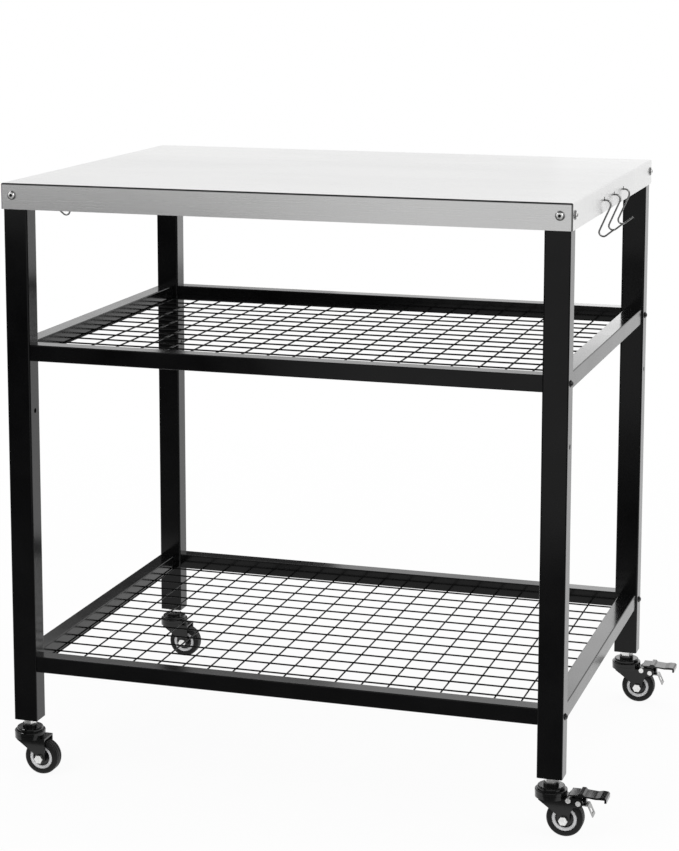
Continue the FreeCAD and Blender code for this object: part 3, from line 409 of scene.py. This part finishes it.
def make_tyre(corner):
    """Turns the tyre's section about its axle."""
    plain = NODES["wheel_tyre_" + corner]
    low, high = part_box(plain.name)
    centre = (low + high) / 2
    spans = [math.hypot(v.co.x - centre.x, v.co.z - centre.z) for v in plain.data.vertices]
    profile = tyre_profile((high.y - low.y) / 2, min(spans), max(spans))
    turns, sharp_degrees = 128, 40.0
    shape = bmesh.new()
    rings = []
    for i in range(turns):
        angle = 2 * math.pi * i / turns
        aside, above = math.cos(angle), math.sin(angle)
        rings.append([
            shape.verts.new(centre + Vector((r * aside, y, r * above))) for y, r in profile])
    for ring, following in zip(rings, rings[1:] + rings[:1]):
        for i in range(len(profile)):
            j = (i + 1) % len(profile)
            shape.faces.new((ring[i], ring[j], following[j], following[i]))
    bmesh.ops.recalc_face_normals(shape, faces=shape.faces)
    mesh = bpy.data.meshes.new("grooved_tyre_" + corner)
    shape.to_mesh(mesh)
    shape.free()
    mesh.shade_smooth()
    mesh.set_sharp_from_angle(angle=math.radians(sharp_degrees))
    tyre = bpy.data.objects.new("grooved_tyre_" + corner, mesh)
    bpy.context.collection.objects.link(tyre)
    mesh.materials.append(TYRE)
    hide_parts(plain.name)
    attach(tyre, "wheel_" + corner)


for corner in CORNERS:
    make_tyre(corner)


# Floor, light and camera

def seen_directly(tree):
    """One for rays from the camera, from glossy surfaces and through clear ones."""
    rays = node(tree, "ShaderNodeLightPath").outputs
    mirrored = maths(tree, "MAXIMUM", rays["Is Camera Ray"], rays["Is Glossy Ray"])
    return maths(tree, "MAXIMUM", mirrored, rays["Is Transmission Ray"])


def make_world():
    """A white background that lights the table with about half of what it shows."""
    world = bpy.data.worlds.new("studio")
    bpy.context.scene.world = world
    world.use_nodes = True
    tree = world.node_tree
    tree.nodes.clear()
    out = node(tree, "ShaderNodeOutputWorld")
    shown = node(tree, "ShaderNodeBackground", Color=WHITE, Strength=1.0)
    light = node(tree, "ShaderNodeBackground", Color=WHITE, Strength=0.55)
    link(tree, mix_shaders(tree, seen_directly(tree), light, shown), out.inputs["Surface"])


def make_floor():
    """A pale floor that fades into the white background away from the table."""
    size, fade_start, fade_end = 60.0, 0.7, 2.2
    bpy.ops.mesh.primitive_plane_add(size=size, location=(0.0, 0.0, 0.0))
    floor = bpy.context.object
    floor.name = "studio_floor"
    made, tree, shader = material("pale_floor")
    shader.inputs["Base Color"].default_value = (0.86, 0.86, 0.86, 1.0)
    shader.inputs["Roughness"].default_value = 0.9
    shader.inputs["Specular IOR Level"].default_value = 0.1
    white = node(tree, "ShaderNodeEmission", Color=WHITE, Strength=1.0)
    away = vector_maths(tree, "LENGTH", rest_place(tree))
    faded = spread(tree, away, 0.94, 1.0, fade_start, fade_end)
    share = maths(tree, "MULTIPLY", seen_directly(tree), faded)
    surface = tree.nodes["Material Output"].inputs["Surface"]
    link(tree, mix_shaders(tree, share, shader, white), surface)
    floor.data.materials.append(made)


def make_card(name, centre, size, turn, strength):
    """A studio card that only reflections see."""
    angles = [math.radians(degrees) for degrees in turn]
    bpy.ops.mesh.primitive_plane_add(size=1.0, location=centre, rotation=angles)
    card = bpy.context.object
    card.name = name
    card.scale = (size[0], size[1], 1.0)
    made, tree, _ = material(name)
    glow = node(tree, "ShaderNodeEmission", Color=(*grey(strength), 1.0), Strength=1.0)
    link(tree, glow.outputs[0], tree.nodes["Material Output"].inputs["Surface"])
    card.data.materials.append(made)
    card.visible_camera = False
    card.visible_diffuse = False
    card.visible_shadow = False


def make_lamp(name, stand, target, size, power):
    """An area lamp that reflections don't see."""
    lamp = bpy.data.lights.new(name, "AREA")
    lamp.shape = "RECTANGLE"
    lamp.size, lamp.size_y = size
    lamp.energy = power
    obj = bpy.data.objects.new(name, lamp)
    obj.visible_glossy = False
    bpy.context.collection.objects.link(obj)
    obj.location = stand
    obj.rotation_euler = (Vector(target) - Vector(stand)).to_track_quat("-Z", "Y").to_euler()


def make_camera():
    """The photograph's place and direction, fitted to the legs, rails and top.

    The three angles are in radians. The focal length and the centre are in the photo's pixels.
    """
    stand = Vector((TABLE_MIDDLE.x + 0.96774, -3.12851, 1.18681))
    yaw, pitch, roll = -0.30458, 0.15168, 0.00045
    focal, centre_x, centre_y = 2269.2, 332.0, 282.32
    level = math.cos(pitch)
    ahead = Vector((math.sin(yaw) * level, math.cos(yaw) * level, -math.sin(pitch)))
    right = Vector((math.cos(yaw), -math.sin(yaw), 0.0))
    up = right.cross(ahead)
    across = right * math.cos(roll) + up * math.sin(roll)
    upward = up * math.cos(roll) - right * math.sin(roll)
    turn = Matrix((across, upward, -ahead)).transposed()
    data = bpy.data.cameras.new("photo_camera")
    data.sensor_width = 36.0
    data.lens = focal * data.sensor_width / PHOTO_HEIGHT
    data.shift_x = (PHOTO_WIDTH / 2 - centre_x) / PHOTO_HEIGHT
    data.shift_y = (centre_y - PHOTO_HEIGHT / 2) / PHOTO_HEIGHT
    camera = bpy.data.objects.new("photo_camera", data)
    bpy.context.collection.objects.link(camera)
    camera.matrix_world = Matrix.Translation(stand) @ turn.to_4x4()
    bpy.context.scene.camera = camera


# Name, centre, size, turn in degrees and strength
CARDS = (
    ("front_card", (0.6, -4.0, 1.6), (9.0, 2.4), (90.0, 0.0, 0.0), 0.50),
    ("front_low_left_card", (-2.0, -1.7, 0.28), (3.0, 0.64), (90.0, 0.0, 0.0), 0.04),
    ("front_low_right_card", (1.5, -1.7, 0.28), (4.0, 0.64), (90.0, 0.0, 0.0), 0.75),
    ("front_floor_card", (0.0, -1.03, 0.012), (3.4, 1.3), (0.0, 0.0, 0.0), 0.16),
    ("ceiling_card", (0.0, -1.6, 4.4), (7.0, 5.0), (-20.0, 0.0, 0.0), 0.02),
    ("right_low_card", (1.7, -0.45, 0.28), (2.5, 0.64), (90.0, 0.0, 90.0), 0.10),
    ("left_low_card", (-1.7, -0.45, 0.28), (2.5, 0.64), (90.0, 0.0, 90.0), 0.10),
    ("back_low_card", (-1.35, 1.5, 0.50), (1.7, 0.60), (90.0, 0.0, 0.0), 0.07),
    ("back_right_strip", (0.16, 1.5, 0.70), (0.36, 0.46), (90.0, 0.0, 0.0), 2.0),
    ("right_flag", (2.7, 1.1, 1.0), (1.5, 2.6), (90.0, 0.0, -60.0), 0.05),
    ("left_flag", (-2.6, 1.3, 1.0), (1.3, 2.6), (90.0, 0.0, 55.0), 0.05),
    ("left_soft_box", (-2.2, -1.2, 2.6), (0.7, 0.7), (50.0, 0.0, -60.0), 10.0),
    ("right_soft_box", (2.2, -1.2, 2.6), (0.7, 0.7), (50.0, 0.0, 60.0), 10.0),
)

# Name, place, target, size and power in watts
LAMPS = (
    ("key", (-1.8, -2.6, 3.0), (0.0, 0.0, 0.5), (2.2, 2.2), 45.0),
    ("overhead", (0.3, 0.6, 3.2), (0.0, 0.0, 0.6), (3.0, 2.4), 40.0),
    ("right_fill", (3.0, -0.6, 1.8), (0.0, 0.0, 0.5), (1.6, 2.4), 25.0),
)

make_world()
make_floor()
for card in CARDS:
    make_card(*card)
for lamp in LAMPS:
    make_lamp(*lamp)
make_camera()
bpy.context.scene.view_settings.view_transform = "Standard"
